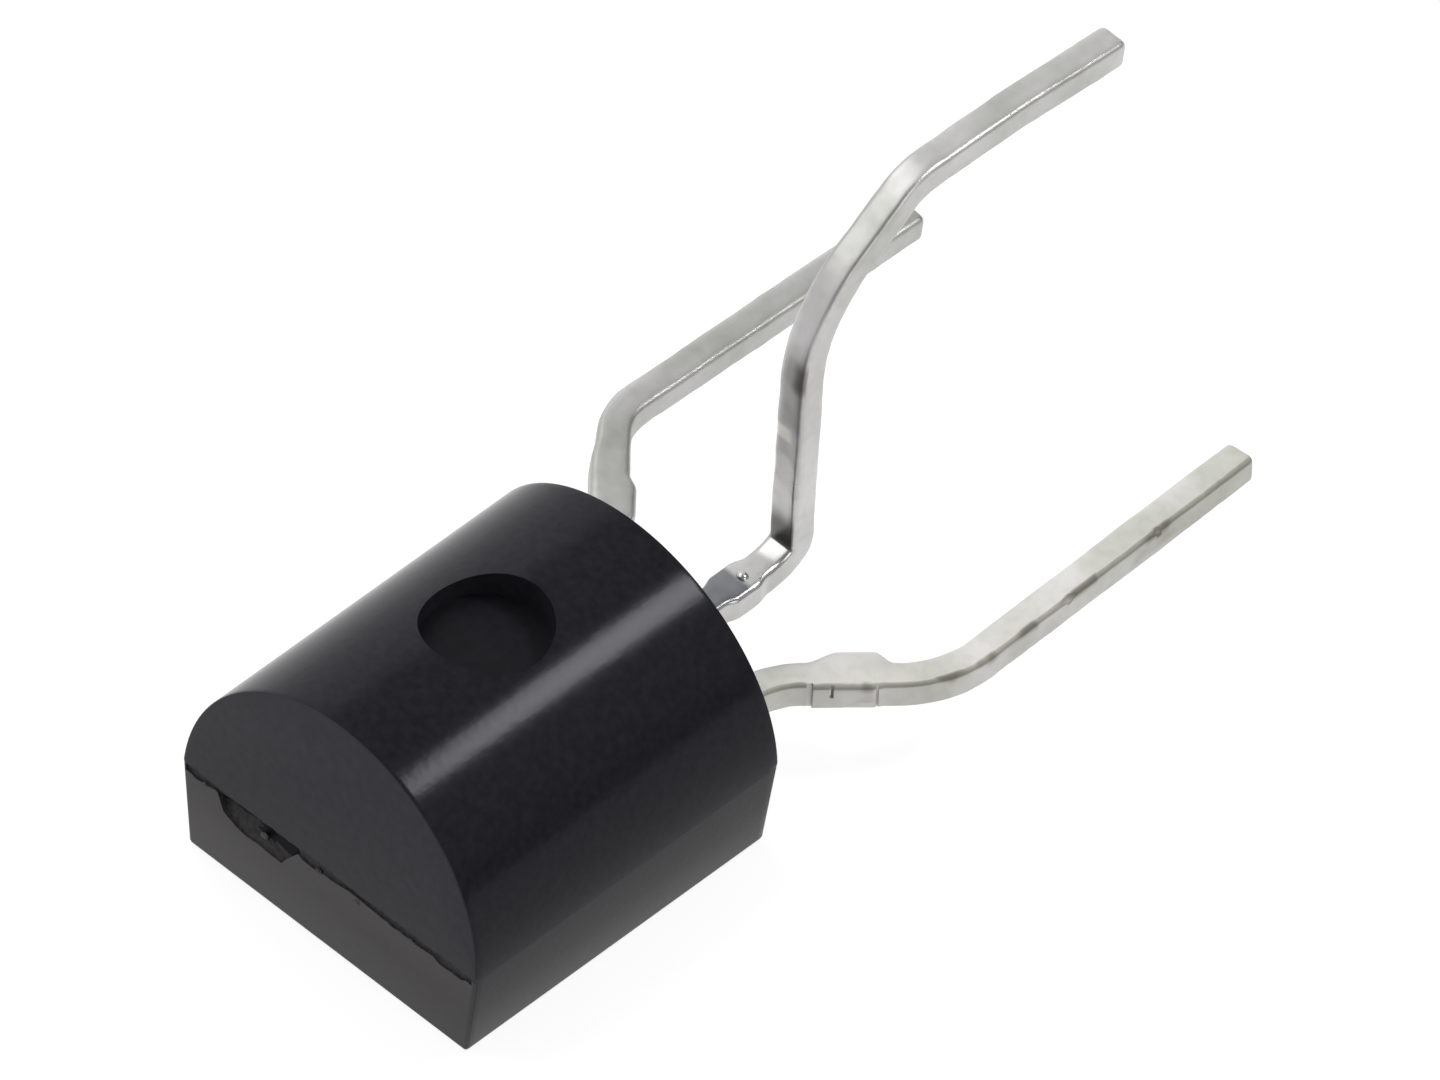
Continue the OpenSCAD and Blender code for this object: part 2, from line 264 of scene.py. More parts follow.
body = new_piece(bpy.ops.mesh.primitive_cylinder_add, vertices=256, radius=CROWN_RADIUS,
                 depth=BODY_LENGTH, location=(0, 0, BODY_DEPTH - CROWN_RADIUS),
                 rotation=(math.pi / 2, 0, 0))
body.name = "body_moulding"
fix_place(body)
edit(body)
bpy.ops.mesh.select_all(action="SELECT")
bpy.ops.transform.resize(value=(BODY_WIDTH / 2 / CROWN_RADIUS, 1, 1), center_override=(0, 0, 0))
bisect((0, 0, PARTING), (0, 0, 1), clear_inner=True, use_fill=True)
pick(body, "faces", lambda face: face.normal.z < -0.9)
bpy.ops.mesh.extrude_region_move(TRANSFORM_OT_translate={"value": (0, 0, -PARTING)})
bpy.ops.transform.resize(value=(FLAT_WIDTH / BODY_WIDTH, FLAT_LENGTH / BODY_LENGTH, 1),
                         center_override=(0, 0, 0))
for side in (-1, 1):
    bisect((0, side * END, PARTING), (0, side * (BODY_DEPTH - PARTING), CROWN_DRAFT),
           clear_outer=True, use_fill=True)
bpy.ops.object.mode_set(mode="OBJECT")

# The lower half's edges are rounded, and the rim of the round side is just broken.
points = body.data.vertices
share = body.data.attributes.new("bevel_weight_edge", "FLOAT", "EDGE")
for edge in body.data.edges:
    first, second = (points[i].co for i in edge.vertices)
    lowest, highest = min(first.z, second.z), max(first.z, second.z)
    at_end = min(abs(first.y), abs(second.y)) > END - 2 * CROWN_DRAFT
    upright = abs(first.z - second.z) > 0.5 * PARTING and lowest < HAIR
    if highest < HAIR or at_end and upright:
        share.data[edge.index].value = 1.0
    elif at_end and highest > PARTING + HAIR:
        share.data[edge.index].value = RIM_SHARE
rounding = body.modifiers.new("rounding", "BEVEL")
rounding.width, rounding.segments = BASE_EDGE, 4
rounding.limit_method = "WEIGHT"
rounding.use_clamp_overlap = False
bpy.ops.object.modifier_apply(modifier="rounding")
edit(body)
for y in BODY_SLICES:
    bisect((0, y * MM, 0), (0, 1, 0))
bisect((0, 0, 0.55 * PARTING), (0, 0, 1))
bpy.ops.object.mode_set(mode="OBJECT")


def cut(piece, cutter):
    """Cut a piece by another, which is then deleted. The cut itself is made in millimetres."""
    for item in (piece, cutter):
        item.data.transform(Matrix.Scale(1 / MM, 4))
    only(piece)
    cutting = piece.modifiers.new("cut", "BOOLEAN")
    cutting.operation, cutting.object, cutting.solver = "DIFFERENCE", cutter, "EXACT"
    bpy.ops.object.modifier_apply(modifier="cut")
    bpy.data.objects.remove(cutter)
    piece.data.transform(Matrix.Scale(MM, 4))


# The ejector pin leaves a dimple in the round side.
DIMPLE_AT = (-0.07 * MM, 0.04 * MM)
DIMPLE_RADIUS, DIMPLE_DEPTH = 0.79 * MM, 0.42 * MM

pin = new_piece(bpy.ops.mesh.primitive_cylinder_add, vertices=96, radius=DIMPLE_RADIUS,
                depth=BODY_DEPTH, location=(*DIMPLE_AT, 1.5 * BODY_DEPTH - DIMPLE_DEPTH))
fix_place(pin)
cut(body, pin)


def sawn_shape(name, outline, y_from, y_to):
    """A prism along Y over an outline in millimetres of X and Z, left open in edit mode."""
    prism = new_piece(bpy.ops.mesh.primitive_circle_add, vertices=len(outline), radius=MM,
                      fill_type="NGON", location=(0, y_from, 0), rotation=(math.pi / 2, 0, 0))
    prism.name = name
    fix_place(prism)
    for vertex, (x, z) in zip(prism.data.vertices, outline):
        vertex.co = (x * MM, y_from, z * MM)
    edit(prism)
    bpy.ops.mesh.select_all(action="SELECT")
    bpy.ops.mesh.extrude_region_move(TRANSFORM_OT_translate={"value": (0, y_to - y_from, 0)})
    bpy.ops.mesh.select_all(action="SELECT")
    bpy.ops.mesh.normals_make_consistent(inside=False)
    return prism


# The halves of the mould don't quite meet at the ends, and leave a ragged hairline there. Each
# opening is given in millimetres at its X.
OPENINGS = ((-2.3, 0.13), (-2, 0.13), (-1.88, 0.07), (-0.5, 0.1), (-0.4, 0.14), (0.12, 0.14),
            (0.25, 0.08), (0.62, 0.07), (0.75, 0.11), (1.5, 0.11), (1.65, 0.07), (1.78, 0.14),
            (2.05, 0.14), (2.3, 0.07))
HAIRLINE_DEPTH = 0.03 * MM
PAST_END = 0.1 * MM

chance = random.Random(4)


def drawn(least, spread):
    """A random number from least up to least plus spread."""
    return least + spread * chance.random()


for side in (-1, 1):
    top, bottom = [], []
    x = OPENINGS[0][0]
    while x < OPENINGS[-1][0]:
        (x_1, opening_1), (x_2, opening_2) = next(
            pair for pair in zip(OPENINGS, OPENINGS[1:]) if x < pair[1][0])
        opening = opening_1 + (opening_2 - opening_1) * (x - x_1) / (x_2 - x_1)
        top.append((x, PARTING_MM + opening * drawn(0.3, 0.2)))
        bottom.append((x, PARTING_MM - opening * drawn(0.5, 0.3)))
        x += drawn(0.05, 0.06)
    groove = sawn_shape("hairline", top + bottom[::-1], side * (END - HAIRLINE_DEPTH),
                        side * (END + PAST_END))
    bpy.ops.object.mode_set(mode="OBJECT")
    cut(body, groove)

# Where the gate was broken off, a rough bite is left across the parting line. It leans in
# towards its top.
SCAR = ((-1.79, 1.24), (-1.685, 0.98), (-1.49, 0.89), (-1.34, 0.855), (-1.13, 0.87),
        (-0.93, 0.855), (-0.75, 0.85), (-0.67, 0.99), (-0.6, 1.09), (-0.48, 1.24),
        (-0.5, 1.28), (-0.62, 1.31), (-0.82, 1.3), (-1.06, 1.29), (-1.27, 1.28), (-1.51, 1.27))
SCAR_DEPTH, SCAR_FLOOR, SCAR_ROUGHNESS = 0.05 * MM, 0.04 * MM, 0.06 * MM
SCAR_LEAN, SCAR_HINGE = math.radians(16), 0.9 * MM

scar = sawn_shape("gate_scar", SCAR, -END - PAST_END, -END + SCAR_DEPTH)
pick(scar, "faces", lambda face: face.calc_center_median().y > -END and len(face.verts) > 4)
bpy.ops.mesh.poke()
bpy.ops.mesh.subdivide(number_cuts=3)
pick(scar, "verts", lambda vertex: vertex.co.y > -END + SCAR_FLOOR)
bpy.ops.transform.rotate(value=SCAR_LEAN, orient_axis="X",
                         center_override=(0, -END + SCAR_DEPTH, SCAR_HINGE))
bpy.ops.transform.vertex_random(offset=SCAR_ROUGHNESS, uniform=0.0, normal=1.0, seed=7)
bpy.ops.object.mode_set(mode="OBJECT")
cut(body, scar)


def join(piece, other):
    """Make another object part of a piece."""
    only(piece)
    other.select_set(True)
    bpy.ops.object.join()


# Crumbs of flash are left in the bite and along the line. Each has its X, its Z and its radius in
# millimetres, and the first one lies in the bite.
CRUMBS = ((-1.05, 1.06, 0.055), (-1.99, 1.2, 0.035), (-0.16, 1.2, 0.035), (0.46, 1.16, 0.04),
          (1.32, 1.21, 0.025))
IN_BITE = 0.045 * MM

for number, (x, z, size) in enumerate(CRUMBS):
    sunk = IN_BITE if number == 0 else -0.008 * MM + 0.5 * size * MM
    crumb = new_piece(bpy.ops.mesh.primitive_ico_sphere_add, subdivisions=3, radius=size * MM,
                      location=(x * MM, sunk - END, z * MM))
    crumb.scale = (1.2, 0.6, 0.8)
    fix_place(crumb)
    edit(crumb)
    bpy.ops.mesh.select_all(action="SELECT")
    bpy.ops.transform.vertex_random(offset=0.15 * size * MM, uniform=0.0, normal=1.0, seed=number)
    bpy.ops.object.mode_set(mode="OBJECT")
    join(body, crumb)


def noise(nodes, links, where, scale, detail):
    """The height of a noise that lies on the piece."""
    grain = nodes.new("ShaderNodeTexNoise")
    grain.inputs["Scale"].default_value = scale
    grain.inputs["Detail"].default_value = detail
    links.new(where, grain.inputs["Vector"])
    return grain.outputs["Fac"]


def mottled(name, scale, dark, light, low=0.3, high=0.7):
    """A Principled material whose colour wanders between two tones.

    Gives the place on the piece and the noise as well.
    """
    material, nodes, links, output = new_material(name)
    shader = nodes.new("ShaderNodeBsdfPrincipled")
    links.new(shader.outputs[0], output.inputs["Surface"])
    where = nodes.new("ShaderNodeTexCoord").outputs["Object"]
    grain = noise(nodes, links, where, scale, 3)
    tone = nodes.new("ShaderNodeValToRGB")
    for element, place, colour in zip(tone.color_ramp.elements, (low, high), (dark, light)):
        element.position = place
        element.color = (*colour, 1)
    links.new(grain, tone.inputs["Fac"])
    links.new(tone.outputs["Color"], shader.inputs["Base Color"])
    return material, nodes, links, shader, where, grain


def add_bump(nodes, links, shader, height, strength, depth=0.01 * MM):
    """Let a height move the shading."""
    bump = nodes.new("ShaderNodeBump")
    bump.inputs["Strength"].default_value = strength
    bump.inputs["Distance"].default_value = depth
    links.new(height, bump.inputs["Height"])
    links.new(bump.outputs[0], shader.inputs["Normal"])


def tint(nodes, links, shader, share, colour, how="MIX"):
    """Blend a colour over the base colour, as far as the share says."""
    blend = nodes.new("ShaderNodeMix")
    blend.data_type = "RGBA"
    blend.blend_type = how
    blend.inputs["B"].default_value = (*colour, 1)
    links.new(share, blend.inputs["Factor"])
    links.new(shader.inputs["Base Color"].links[0].from_socket, blend.inputs["A"])
    links.new(blend.outputs["Result"], shader.inputs["Base Color"])


def split(nodes, links, vector):
    """The X, Y and Z of a vector."""
    parts = nodes.new("ShaderNodeSeparateXYZ")
    links.new(vector, parts.inputs[0])
    return parts.outputs


def facing_parts(nodes, links):
    """The X, Y and Z of the direction in which the surface faces."""
    return split(nodes, links, nodes.new("ShaderNodeNewGeometry").outputs["Normal"])


def painted_floor_light_below(nodes, links, shader, where, colour, low, high):
    """Blend the base colour to another from a height down to a lower one, as painted table light.
    """
    share = ramp(nodes, links, split(nodes, links, where)["Z"], high, low)
    tint(nodes, links, shader, share, colour)


def overlap(nodes, links, *parts):
    """The product of several ranges, each a socket and the values where it gives 0 and 1."""
    product = None
    for part in parts:
        share = ramp(nodes, links, *part)
        product = share if product is None else calculate(nodes, links, "MULTIPLY", product, share)
    return product


glossy, nodes, links, shader, where, grain = mottled(
    "compound_glossy", 9000, (0.0155, 0.0148, 0.0188), (0.0225, 0.0214, 0.0268))
shader.inputs["Roughness"].default_value = 0.17
# The crown has less sheen than the flanks. That is a choice of look.
facing = facing_parts(nodes, links)
crown = overlap(nodes, links, (facing["X"], -0.2, -0.03), (facing["X"], 0.36, 0.27))
sheen = ramp(nodes, links, crown, 0.0, 1.0, 0.1, 0.012, "LINEAR")
links.new(sheen, shader.inputs["Specular IOR Level"])
shader.inputs["Specular Tint"].default_value = (0.94, 0.93, 1, 1)
# The flanks are painted lighter towards the table, as painted light thrown up from it.
painted_floor_light_below(nodes, links, shader, where, (0.035, 0.033, 0.035), 0.0, 1.1 * MM)
add_bump(nodes, links, shader, grain, 0.12)

matt, nodes, links, shader, where, grain = mottled(
    "compound_matt", 7000, (0.0355, 0.034, 0.042), (0.0455, 0.0435, 0.053))
shader.inputs["Roughness"].default_value = 0.45
shader.inputs["Specular IOR Level"].default_value = 0.15
# The ends are painted lighter below the parting line, as painted light thrown up from the table.
painted_floor_light_below(nodes, links, shader, where, (0.095, 0.089, 0.092), PARTING - 0.01 * MM,
             PARTING + 0.01 * MM)
add_bump(nodes, links, shader, grain, 0.25)

# A rougher, darker copy of the compound. Its darker tone is painted shade, for the dimple floor
# and the top of the gate bite.
dull_painted_shade, nodes, links, shader, _, grain = mottled(
    "compound_dull_painted_shade", 7000, (0.0075, 0.007, 0.0095), (0.0115, 0.0108, 0.0145))
shader.inputs["Roughness"].default_value = 0.55
shader.inputs["Specular IOR Level"].default_value = 0.1
add_bump(nodes, links, shader, grain, 0.25)

broken, nodes, links, shader, _, grain = mottled(
    "compound_broken", 14000, (0.036, 0.033, 0.036), (0.066, 0.062, 0.065), 0.35, 0.65)
shader.inputs["Roughness"].default_value = 0.6
shader.inputs["Specular IOR Level"].default_value = 0.15
add_bump(nodes, links, shader, grain, 0.6, 0.015 * MM)

GLOSSY, MATT, DULL_PAINTED_SHADE, BROKEN = range(4)
LOWER_DRAFT = 0.04 * MM
MARK_LOW, MARK_MIDDLE, MARK_HIGH = 0.8 * MM, 1.2 * MM, 1.35 * MM
MARK_SIDE_BELOW, MARK_SIDE_ABOVE, MARK_BACK, MARK_SUNK = 2.2 * MM, 2.32 * MM, 2.2 * MM, 0.008 * MM
SCAR_LEFT, SCAR_MIDDLE, SCAR_RIGHT = -1.8 * MM, -1.2 * MM, -0.5 * MM
SHADE_LEFT, SHADE_RIGHT = 1.12 * MM, 1.02 * MM
N_GON, UPRIGHT, LEVEL = 30, 0.9998, 0.9999

body.data.materials.clear()
for finish in (glossy, matt, dull_painted_shade, broken):
    body.data.materials.append(finish)
for face in body.data.polygons:
    centre = face.center
    end_plane = END - LOWER_DRAFT * max(0, 1 - centre.z / PARTING)
    mark_side = MARK_SIDE_BELOW if centre.z < MARK_MIDDLE else MARK_SIDE_ABOVE
    in_end_mark = (MARK_LOW < centre.z < MARK_HIGH and abs(centre.x) < mark_side
                   and MARK_BACK < abs(centre.y) < end_plane - MARK_SUNK
                   and (len(face.vertices) < N_GON or abs(face.normal.y) > UPRIGHT))
    at_scar = centre.y < 0 and SCAR_LEFT < centre.x < SCAR_RIGHT
    # The top of the bite is painted dark, as painted shadow cast by the upper lip.
    shaded = at_scar and centre.z > (SHADE_RIGHT if centre.x > SCAR_MIDDLE else SHADE_LEFT)
    on_dimple_floor = (
        math.hypot(centre.x - DIMPLE_AT[0], centre.y - DIMPLE_AT[1]) < DIMPLE_RADIUS
        and abs(face.normal.z) > LEVEL and centre.z > 2 * MM)
    on_crumb = (math.hypot(centre.x - CRUMBS[0][0] * MM, centre.z - CRUMBS[0][1] * MM) < 0.06 * MM
                and centre.y < -END + IN_BITE)
    if on_crumb:
        face.material_index = MATT
    elif in_end_mark and not shaded:
        face.material_index = BROKEN
    # The dimple floor and the top of the bite take the darker copy, as painted shade.
    elif in_end_mark or on_dimple_floor:
        face.material_index = DULL_PAINTED_SHADE
    elif abs(face.normal.y) > 0.25 and abs(centre.y) > 2.3 * MM:
        face.material_index = MATT
    else:
        face.material_index = GLOSSY
bpy.ops.object.shade_smooth_by_angle(angle=math.radians(30))
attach(body, "root")
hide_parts("moulded_body")


# ---------- Leads ----------
# The leads are copper alloy strip, stamped as one frame with a dam bar across them, moulded in,
# tinned, cut apart and formed. The two outer ones splay out, and the middle one is turned up and
# over.

LEAD_WIDTH, LEAD_THICKNESS, LEAD_EDGE = 0.4 * MM, 0.38 * MM, 0.07 * MM
LEAD_HEIGHT_MM = 1.14
LEAD_HEIGHT = LEAD_HEIGHT_MM * MM
LEAD_PITCH = 1.27 * MM
ROOT_Y = 2.3 * MM
RING_STEP, FEWEST_RINGS = 0.05 * MM, 6
SPLAY, TOE_IN = 43, 1.5
ROOT_STRAIGHT, ROOT_BEND = 0.48 * MM, 1.1 * MM
# The rings of a sheared end: the length to each in millimetres and its scale. TIP is their sum.
TIP_RINGS = ((0.02, 0.985), (0.025, 0.95), (0.02, 0.9), (0.01, 0.85))
TIP = 0.075 * MM
ACROSS, ALONG, UP = Vector((1, 0, 0)), Vector((0, 1, 0)), Vector((0, 0, 1))


class Lead:
    """A strip that grows from its section, ring by ring, as its path is walked."""

    def __init__(self, name, x, roll=0.0):
        self.piece = new_piece(bpy.ops.mesh.primitive_plane_add, size=1,
                               location=(x, ROOT_Y, LEAD_HEIGHT),
                               rotation=(math.pi / 2, math.radians(roll), 0))
        self.piece.name = name
        self.piece.scale = (LEAD_WIDTH, LEAD_THICKNESS, 1)
        fix_place(self.piece)
        edit(self.piece)
        bpy.ops.mesh.select_all(action="SELECT")
        bpy.ops.mesh.bevel(offset=LEAD_EDGE, segments=4, affect="VERTICES")
        edit(self.piece, "EDGE")
        pick(self.piece, "edges", lambda edge: edge.calc_length() > 2 * LEAD_EDGE)
        bpy.ops.mesh.subdivide(number_cuts=3)
        bpy.ops.mesh.select_mode(type="FACE")
        bpy.ops.mesh.select_all(action="SELECT")
        self.place = Vector((x, ROOT_Y, LEAD_HEIGHT))
        self.heading = ALONG.copy()

    def step(self, move):
        """Grow the strip by one ring."""
        bpy.ops.mesh.extrude_region_move(TRANSFORM_OT_translate={"value": move})
        self.place = self.place + move

    def go(self, length):
        """Walk straight on."""
        count = max(1, round(length / RING_STEP))
        for _ in range(count):
            self.step(self.heading * (length / count))

    def squeeze(self, direction, scale):
        """Scale the open end along one direction."""
        direction = direction.normalized()
        other = direction.cross(self.heading).normalized()
        bpy.ops.transform.resize(value=(scale, 1, 1), orient_type="GLOBAL",
                                 orient_matrix=(direction, self.heading, other),
                                 orient_matrix_type="GLOBAL", center_override=self.place)

    def stub_stretch(self, length, out, outer, inner):
        """Walk on where the dam bar was cut off. A stub is its reach, start, end, rise and fall,
        in millimetres."""
        def swell(at, reach, start, end, rise, fall):
            share = max(0.0, min(1.0, (at / MM - start) / rise, (end - at / MM) / fall))
            return reach * MM * share * share * (3 - 2 * share)

        count = round(length / (0.6 * RING_STEP))
        width, shift = LEAD_WIDTH, 0.0
        for i in range(1, count + 1):
            outwards = swell(length * i / count, *outer)
            inwards = swell(length * i / count, *inner)
            new_width, new_shift = LEAD_WIDTH + outwards + inwards, (outwards - inwards) / 2
            self.step(self.heading * (length / count) + out * (new_shift - shift))
            self.squeeze(out, new_width / width)
            width, shift = new_width, new_shift

    def turn(self, radius, degrees, towards):
        """Walk round a bend."""
        towards = (towards - self.heading * towards.dot(self.heading)).normalized()
        centre = self.place + towards * radius
        axis = towards.cross(self.heading)
        angle = math.radians(degrees)
        count = max(FEWEST_RINGS, round(radius * angle / RING_STEP))
        start = self.heading.copy()
        for i in range(1, count + 1):
            bpy.ops.mesh.spin(steps=1, angle=angle / count, center=centre, axis=axis)
            a = angle * i / count
            self.heading = start * math.cos(a) + towards * math.sin(a)
            self.place = centre + (start * math.sin(a) - towards * math.cos(a)) * radius

    def tip(self):
        """End the strip, where the shears roll its edges over."""
        for length, scale in TIP_RINGS:
            self.step(self.heading * length * MM)
            bpy.ops.transform.resize(value=(scale, scale, scale), center_override=self.place)
        bpy.ops.object.mode_set(mode="OBJECT")


def outer_lead(name, side, roll, spread, bend_radius, reach, stubs, outer, inner):
    """An outer lead, on the side that the sign gives."""
    lead = Lead(name, side * LEAD_PITCH, roll)
    out = ACROSS * side
    lead.go(END + ROOT_STRAIGHT - ROOT_Y)
    lead.turn(ROOT_BEND, SPLAY, out)
    corner = (spread - abs(lead.place.x)) / math.sin(math.radians(SPLAY))
    corner_y = lead.place.y + corner * math.cos(math.radians(SPLAY))
    tangent = bend_radius * math.tan(math.radians((SPLAY + TOE_IN) / 2))
    lead.stub_stretch(stubs, lead.heading.cross(UP) * side, outer, inner)
    lead.go(corner - tangent - stubs)
    lead.turn(bend_radius, SPLAY + TOE_IN, -out)
    lead.go((reach - corner_y) / math.cos(math.radians(TOE_IN)) - tangent - TIP)
    lead.tip()
    return lead


lead_1 = outer_lead("lead_1", -1, 4, 2.84 * MM, 0.8 * MM, 9.86 * MM, 1.5 * MM,
                    (0.06, 0.03, 1.5, 0.26, 0.45), (0.08, 0.03, 0.91, 0.26, 0.26))
lead_3 = outer_lead("lead_3", 1, -4, 2.69 * MM, 1.4 * MM, 9.88 * MM, 1.03 * MM,
                    (0.03, 0.0, 0.95, 0.1, 0.2), (0.17, 0.0, 1.03, 0.42, 0.22))

# The middle lead runs on to its dam bar, turns up in two arcs, rises, leans over and levels out.
MIDDLE_DAM_AT, MIDDLE_BEND_Y, UPRIGHT_TOP = 1.34 * MM, 4.545 * MM, 4.01 * MM

lead_2 = Lead("lead_2", 0)
lead_2.go(END + MIDDLE_DAM_AT - ROOT_Y)
lead_2.stub_stretch(0.7 * MM, ACROSS, (0.05, 0, 0.7, 0.2, 0.2), (0.06, 0, 0.7, 0.2, 0.2))
lead_2.go(MIDDLE_BEND_Y - lead_2.place.y)
lead_2.turn(0.8 * MM, 30, UP)
lead_2.turn(0.25 * MM, 60, UP)
lead_2.go(UPRIGHT_TOP - lead_2.place.z)
lead_2.turn(1.9 * MM, 54, ALONG)
lead_2.go(0.78 * MM)
lead_2.turn(0.8 * MM, 37, -UP)
lead_2.go(1.28 * MM)
lead_2.turn(4 * MM, 4, -UP)
lead_2.go(1.53 * MM - TIP)
lead_2.tip()

# A bead of tin sits on the middle lead, at the edge of the painted reflection of the body on its
# top.
bead = new_piece(bpy.ops.mesh.primitive_ico_sphere_add, subdivisions=4, radius=1,
                 location=(0.01 * MM, 4.25 * MM, 1.32 * MM))
bead.scale = (0.085 * MM, 0.075 * MM, 0.06 * MM)
fix_place(bead)
join(lead_2.piece, bead)

# The dam bar's shear leaves a flat with three nicks on the outer face of the third lead. Each has
# its place along the lead, width, height, rise and the distance out from the lead's middle where
# it starts, in millimetres.
DAM_X, DAM_Y = 1.5655, 3.69
NICKS = ((0.05, 0.07, 0.42, 0, 0.165), (0.31, 0.035, 0.2, 0.12, 0.185),
         (0.83, 0.03, 0.42, 0, 0.175))
NICK_CUTTER = 0.1

heading = Vector((math.sin(math.radians(SPLAY)), math.cos(math.radians(SPLAY)), 0))
outwards = Vector((heading.y, -heading.x, 0))
for along, width, height, rise, out in NICKS:
    nick = new_piece(bpy.ops.mesh.primitive_cube_add, size=1)
    nick.scale = (width * MM, NICK_CUTTER * MM, height * MM)
    nick.rotation_euler = (0, 0, math.radians(90 - SPLAY))
    nick.location = (Vector((DAM_X, DAM_Y, LEAD_HEIGHT_MM + rise)) * MM + heading * along * MM
                     + outwards * (out + NICK_CUTTER / 2) * MM)
    fix_place(nick)
    cut(lead_3.piece, nick)

# Two shallow dents lie on the upper edge of the same lead, at an X and Y, with half a length.
DENTS = ((2.877, 6.75, 0.22), (2.838, 8.25, 0.1))
DENT_RADIUS, DENT_Z = 0.1 * MM, 1.36 * MM

for x, y, half_length in DENTS:
    dent = new_piece(bpy.ops.mesh.primitive_ico_sphere_add, subdivisions=3, radius=1)
    dent.scale = (DENT_RADIUS, half_length * MM, DENT_RADIUS)
    dent.location = (x * MM, y * MM, DENT_Z)
    fix_place(dent)
    cut(lead_3.piece, dent)

tin, nodes, links, shader, where, _ = mottled(
    "tinned_lead", 900, (0.49, 0.495, 0.465), (0.63, 0.62, 0.62), 0.35, 0.65)
shader.inputs["Metallic"].default_value = 0.8
fine = noise(nodes, links, where, 6000, 4)
coarse = noise(nodes, links, where, 1500, 2)
add_bump(nodes, links, shader, fine, 0.15)
place = split(nodes, links, where)
facing = facing_parts(nodes, links)

# The tin's tone and roughness differ a little from lead to lead, from side to side and with
# height.
# The tone from side to side is painted light: the third lead's top is painted lighter, and its
# ridge is painted darker, partly in patches, as a painted dark reflection of the body. The rest is
# a choice of look.
third = (place["X"], 0.5 * MM, 1.8 * MM)
on_lead_3 = overlap(nodes, links, third)
on_lead_1 = overlap(nodes, links, (place["X"], -0.5 * MM, -1.8 * MM))
high_up = overlap(nodes, links, (place["Z"], 2.2 * MM, 3.6 * MM))
painted_light_on_top_of_3 = overlap(nodes, links, third, (facing["Z"], 0.5, 0.9))
# The ridge is painted darker, as a painted dark reflection of the body.
painted_ridge_reflection = overlap(nodes, links, third, (facing["X"], 0.15, 0.4), (facing["Z"], 0.15, 0.4))
# Patches of painted dark reflection along the same ridge.
painted_ridge_reflection_patches = overlap(nodes, links, third, (facing["X"], 0.02, 0.2), (facing["Z"], 0.02, 0.2),
                  (coarse, 0.52, 0.62))
speckle = overlap(nodes, links, (fine, 0.55, 0.35))

# The middle lead has a painted dark reflection of the body on its top where it leaves the
# compound, painted shade inside its first bend, and a painted dark reflection and a painted
# highlight on its upright stretch. They are drawn as marks on the tin, and what made them isn't
# known. They are painted light and shade on the tin.
painted_body_reflection = overlap(nodes, links, (place["Y"], 4.25 * MM, 4.15 * MM),
                     (place["X"], 0.5 * MM, 0.3 * MM), (place["X"], -0.5 * MM, -0.3 * MM),
                     (facing["Z"], 0.6, 0.9))
# Painted shade inside the first bend.
painted_bend_shade = overlap(nodes, links, (place["Z"], 1.38 * MM, 1.48 * MM),
                    (place["Z"], 2.05 * MM, 1.7 * MM), (facing["Y"], -0.6, -0.9))
# A painted dark reflection on the upright stretch.
painted_upright_reflection = overlap(nodes, links, (place["Z"], 3.9 * MM, 4.1 * MM),
                     (place["Z"], 4.5 * MM, 4.3 * MM), (place["X"], -0.02 * MM, 0.1 * MM),
                     (place["X"], 0.6 * MM, 0.5 * MM), (facing["Y"], -0.2, -0.5))
# A painted highlight on the upright stretch.
painted_highlight_spot = overlap(nodes, links, (place["Z"], 3.08 * MM, 3.16 * MM),
                    (place["Z"], 3.38 * MM, 3.3 * MM), (place["X"], 0.1 * MM, 0.0),
                    (facing["Y"], -0.6, -0.9))

# The painted light, painted shade and painted reflections below are multiplied into the tin's
# colour with its speckle and tone.
for share, colour in ((speckle, (0.95, 0.945, 0.935)), (on_lead_3, (1.04, 1.04, 1.01)),
                      (painted_light_on_top_of_3, (1.24, 1.24, 1.24)), (painted_ridge_reflection, (0.78, 0.77, 0.74)),
                      (painted_ridge_reflection_patches, (0.62, 0.6, 0.57)), (painted_body_reflection, (0.37, 0.38, 0.41)),
                      (painted_bend_shade, (0.24, 0.24, 0.23)), (painted_upright_reflection, (0.5, 0.48, 0.45)),
                      (painted_highlight_spot, (1.45, 1.45, 1.36))):
    tint(nodes, links, shader, share, colour, "MULTIPLY")
roughness = 0.26
for share, more in ((on_lead_3, 0.25), (on_lead_1, 0.18), (high_up, 0.14), (painted_ridge_reflection, 0.3)):
    roughness = calculate(nodes, links, "MULTIPLY_ADD", share, more, roughness)
links.new(roughness, shader.inputs["Roughness"])

# The coat of tin is slightly uneven. Inside the compound each lead goes on as the CAD has it.
UNEVEN = 0.022 * MM

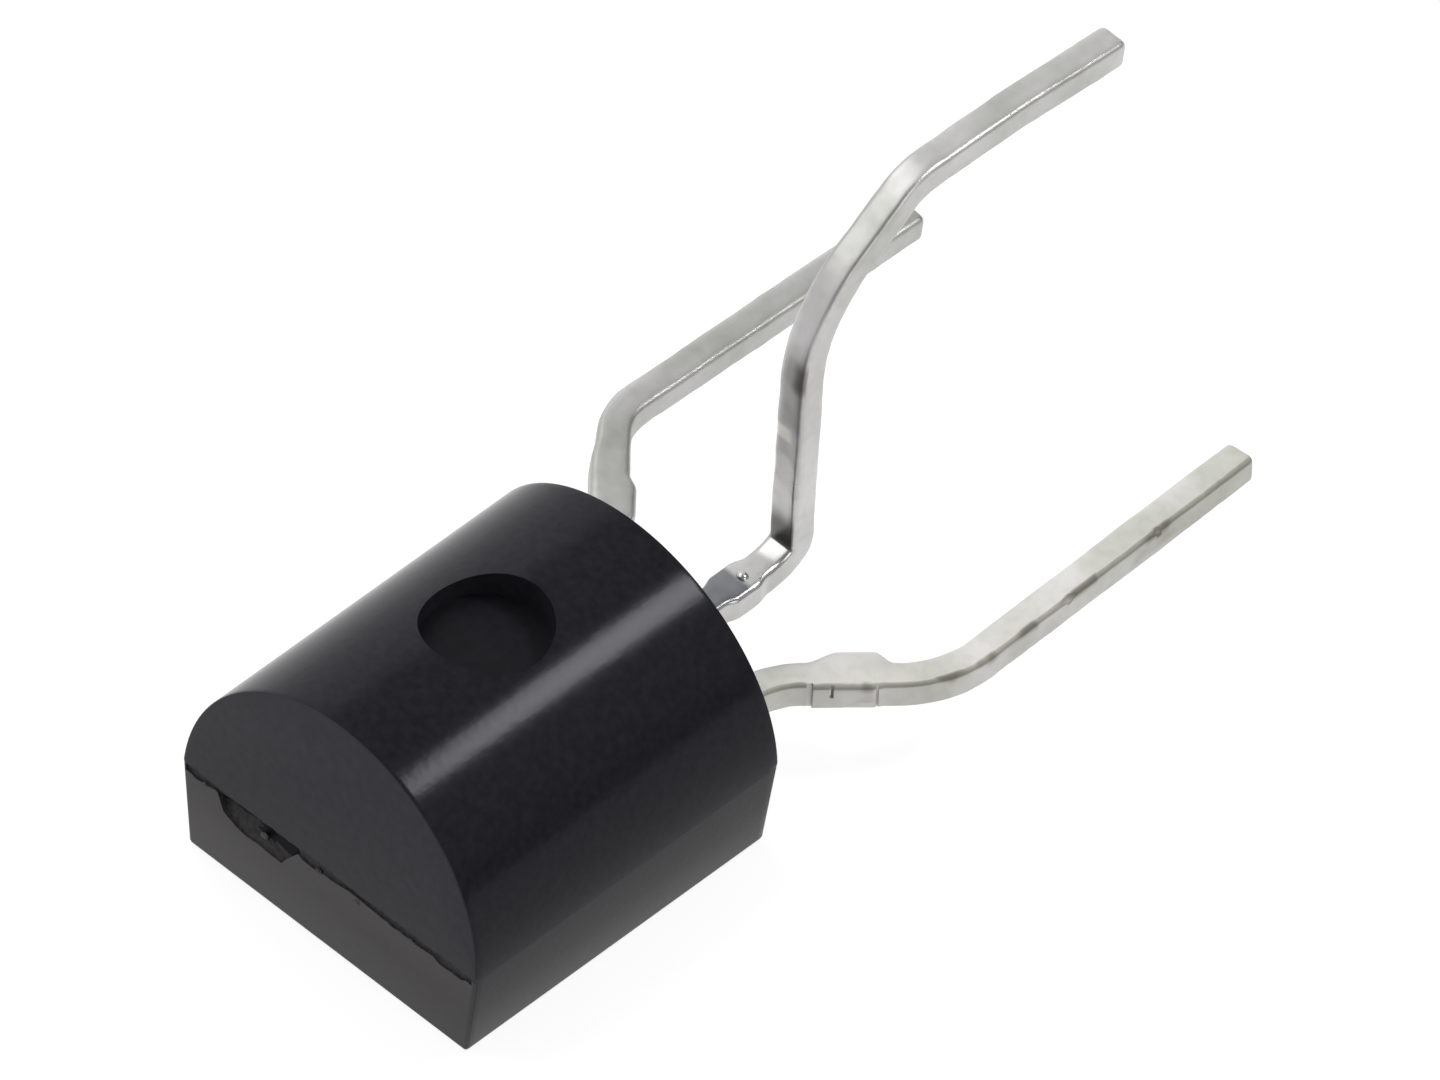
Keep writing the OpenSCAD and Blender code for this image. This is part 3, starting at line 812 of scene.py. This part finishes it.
wander = bpy.data.textures.new("uneven_tin", "CLOUDS")
wander.noise_scale = 0.4 * MM
for lead, node in ((lead_1, "lead_main_terminal_1"), (lead_2, "lead_gate"),
                   (lead_3, "lead_main_terminal_2")):
    piece = lead.piece
    edit(piece)
    bpy.ops.mesh.select_all(action="SELECT")
    bpy.ops.mesh.normals_make_consistent(inside=False)
    bpy.ops.object.mode_set(mode="OBJECT")
    only(piece)
    uneven = piece.modifiers.new("uneven", "DISPLACE")
    uneven.texture, uneven.texture_coords = wander, "LOCAL"
    uneven.strength, uneven.mid_level = UNEVEN, 0.5
    bpy.ops.object.modifier_apply(modifier="uneven")
    cad_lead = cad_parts[node]
    inner = cad_lead.copy()
    inner.data = cad_lead.data.copy()
    bpy.context.scene.collection.objects.link(inner)
    edit(inner)
    bpy.ops.mesh.select_all(action="SELECT")
    bpy.ops.mesh.remove_doubles(threshold=HAIR)
    bisect((0, ROOT_Y + 0.02 * MM, 0), (0, 1, 0), clear_outer=True, use_fill=True)
    bpy.ops.object.mode_set(mode="OBJECT")
    join(piece, inner)
    piece.data.materials.clear()
    piece.data.materials.append(tin)
    bpy.ops.object.shade_smooth_by_angle(angle=math.radians(40))
    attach(piece, "root")
    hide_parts(node)


# ---------- Chip and bond wires ----------
# Inside the moulding a silicon chip is soldered to the third lead's flag, and two wires join its
# pads to the other leads' posts.

for node, colour, metallic, roughness in (
        ("chip_solder", (0.5, 0.5, 0.51), 1.0, 0.4),
        ("triac_chip", (0.3, 0.31, 0.36), 0.6, 0.2),
        ("gate_bond_wire", (0.9, 0.68, 0.3), 1.0, 0.2),
        ("main_terminal_bond_wire", (0.8, 0.8, 0.82), 1.0, 0.3)):
    finish, _, _, shader, _, _ = mottled(
        node, 6000, [part * 0.8 for part in colour], [min(1, part * 1.1) for part in colour])
    shader.inputs["Metallic"].default_value = metallic
    shader.inputs["Roughness"].default_value = roughness
    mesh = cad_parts[node].data
    mesh.materials.clear()
    mesh.materials.append(finish)
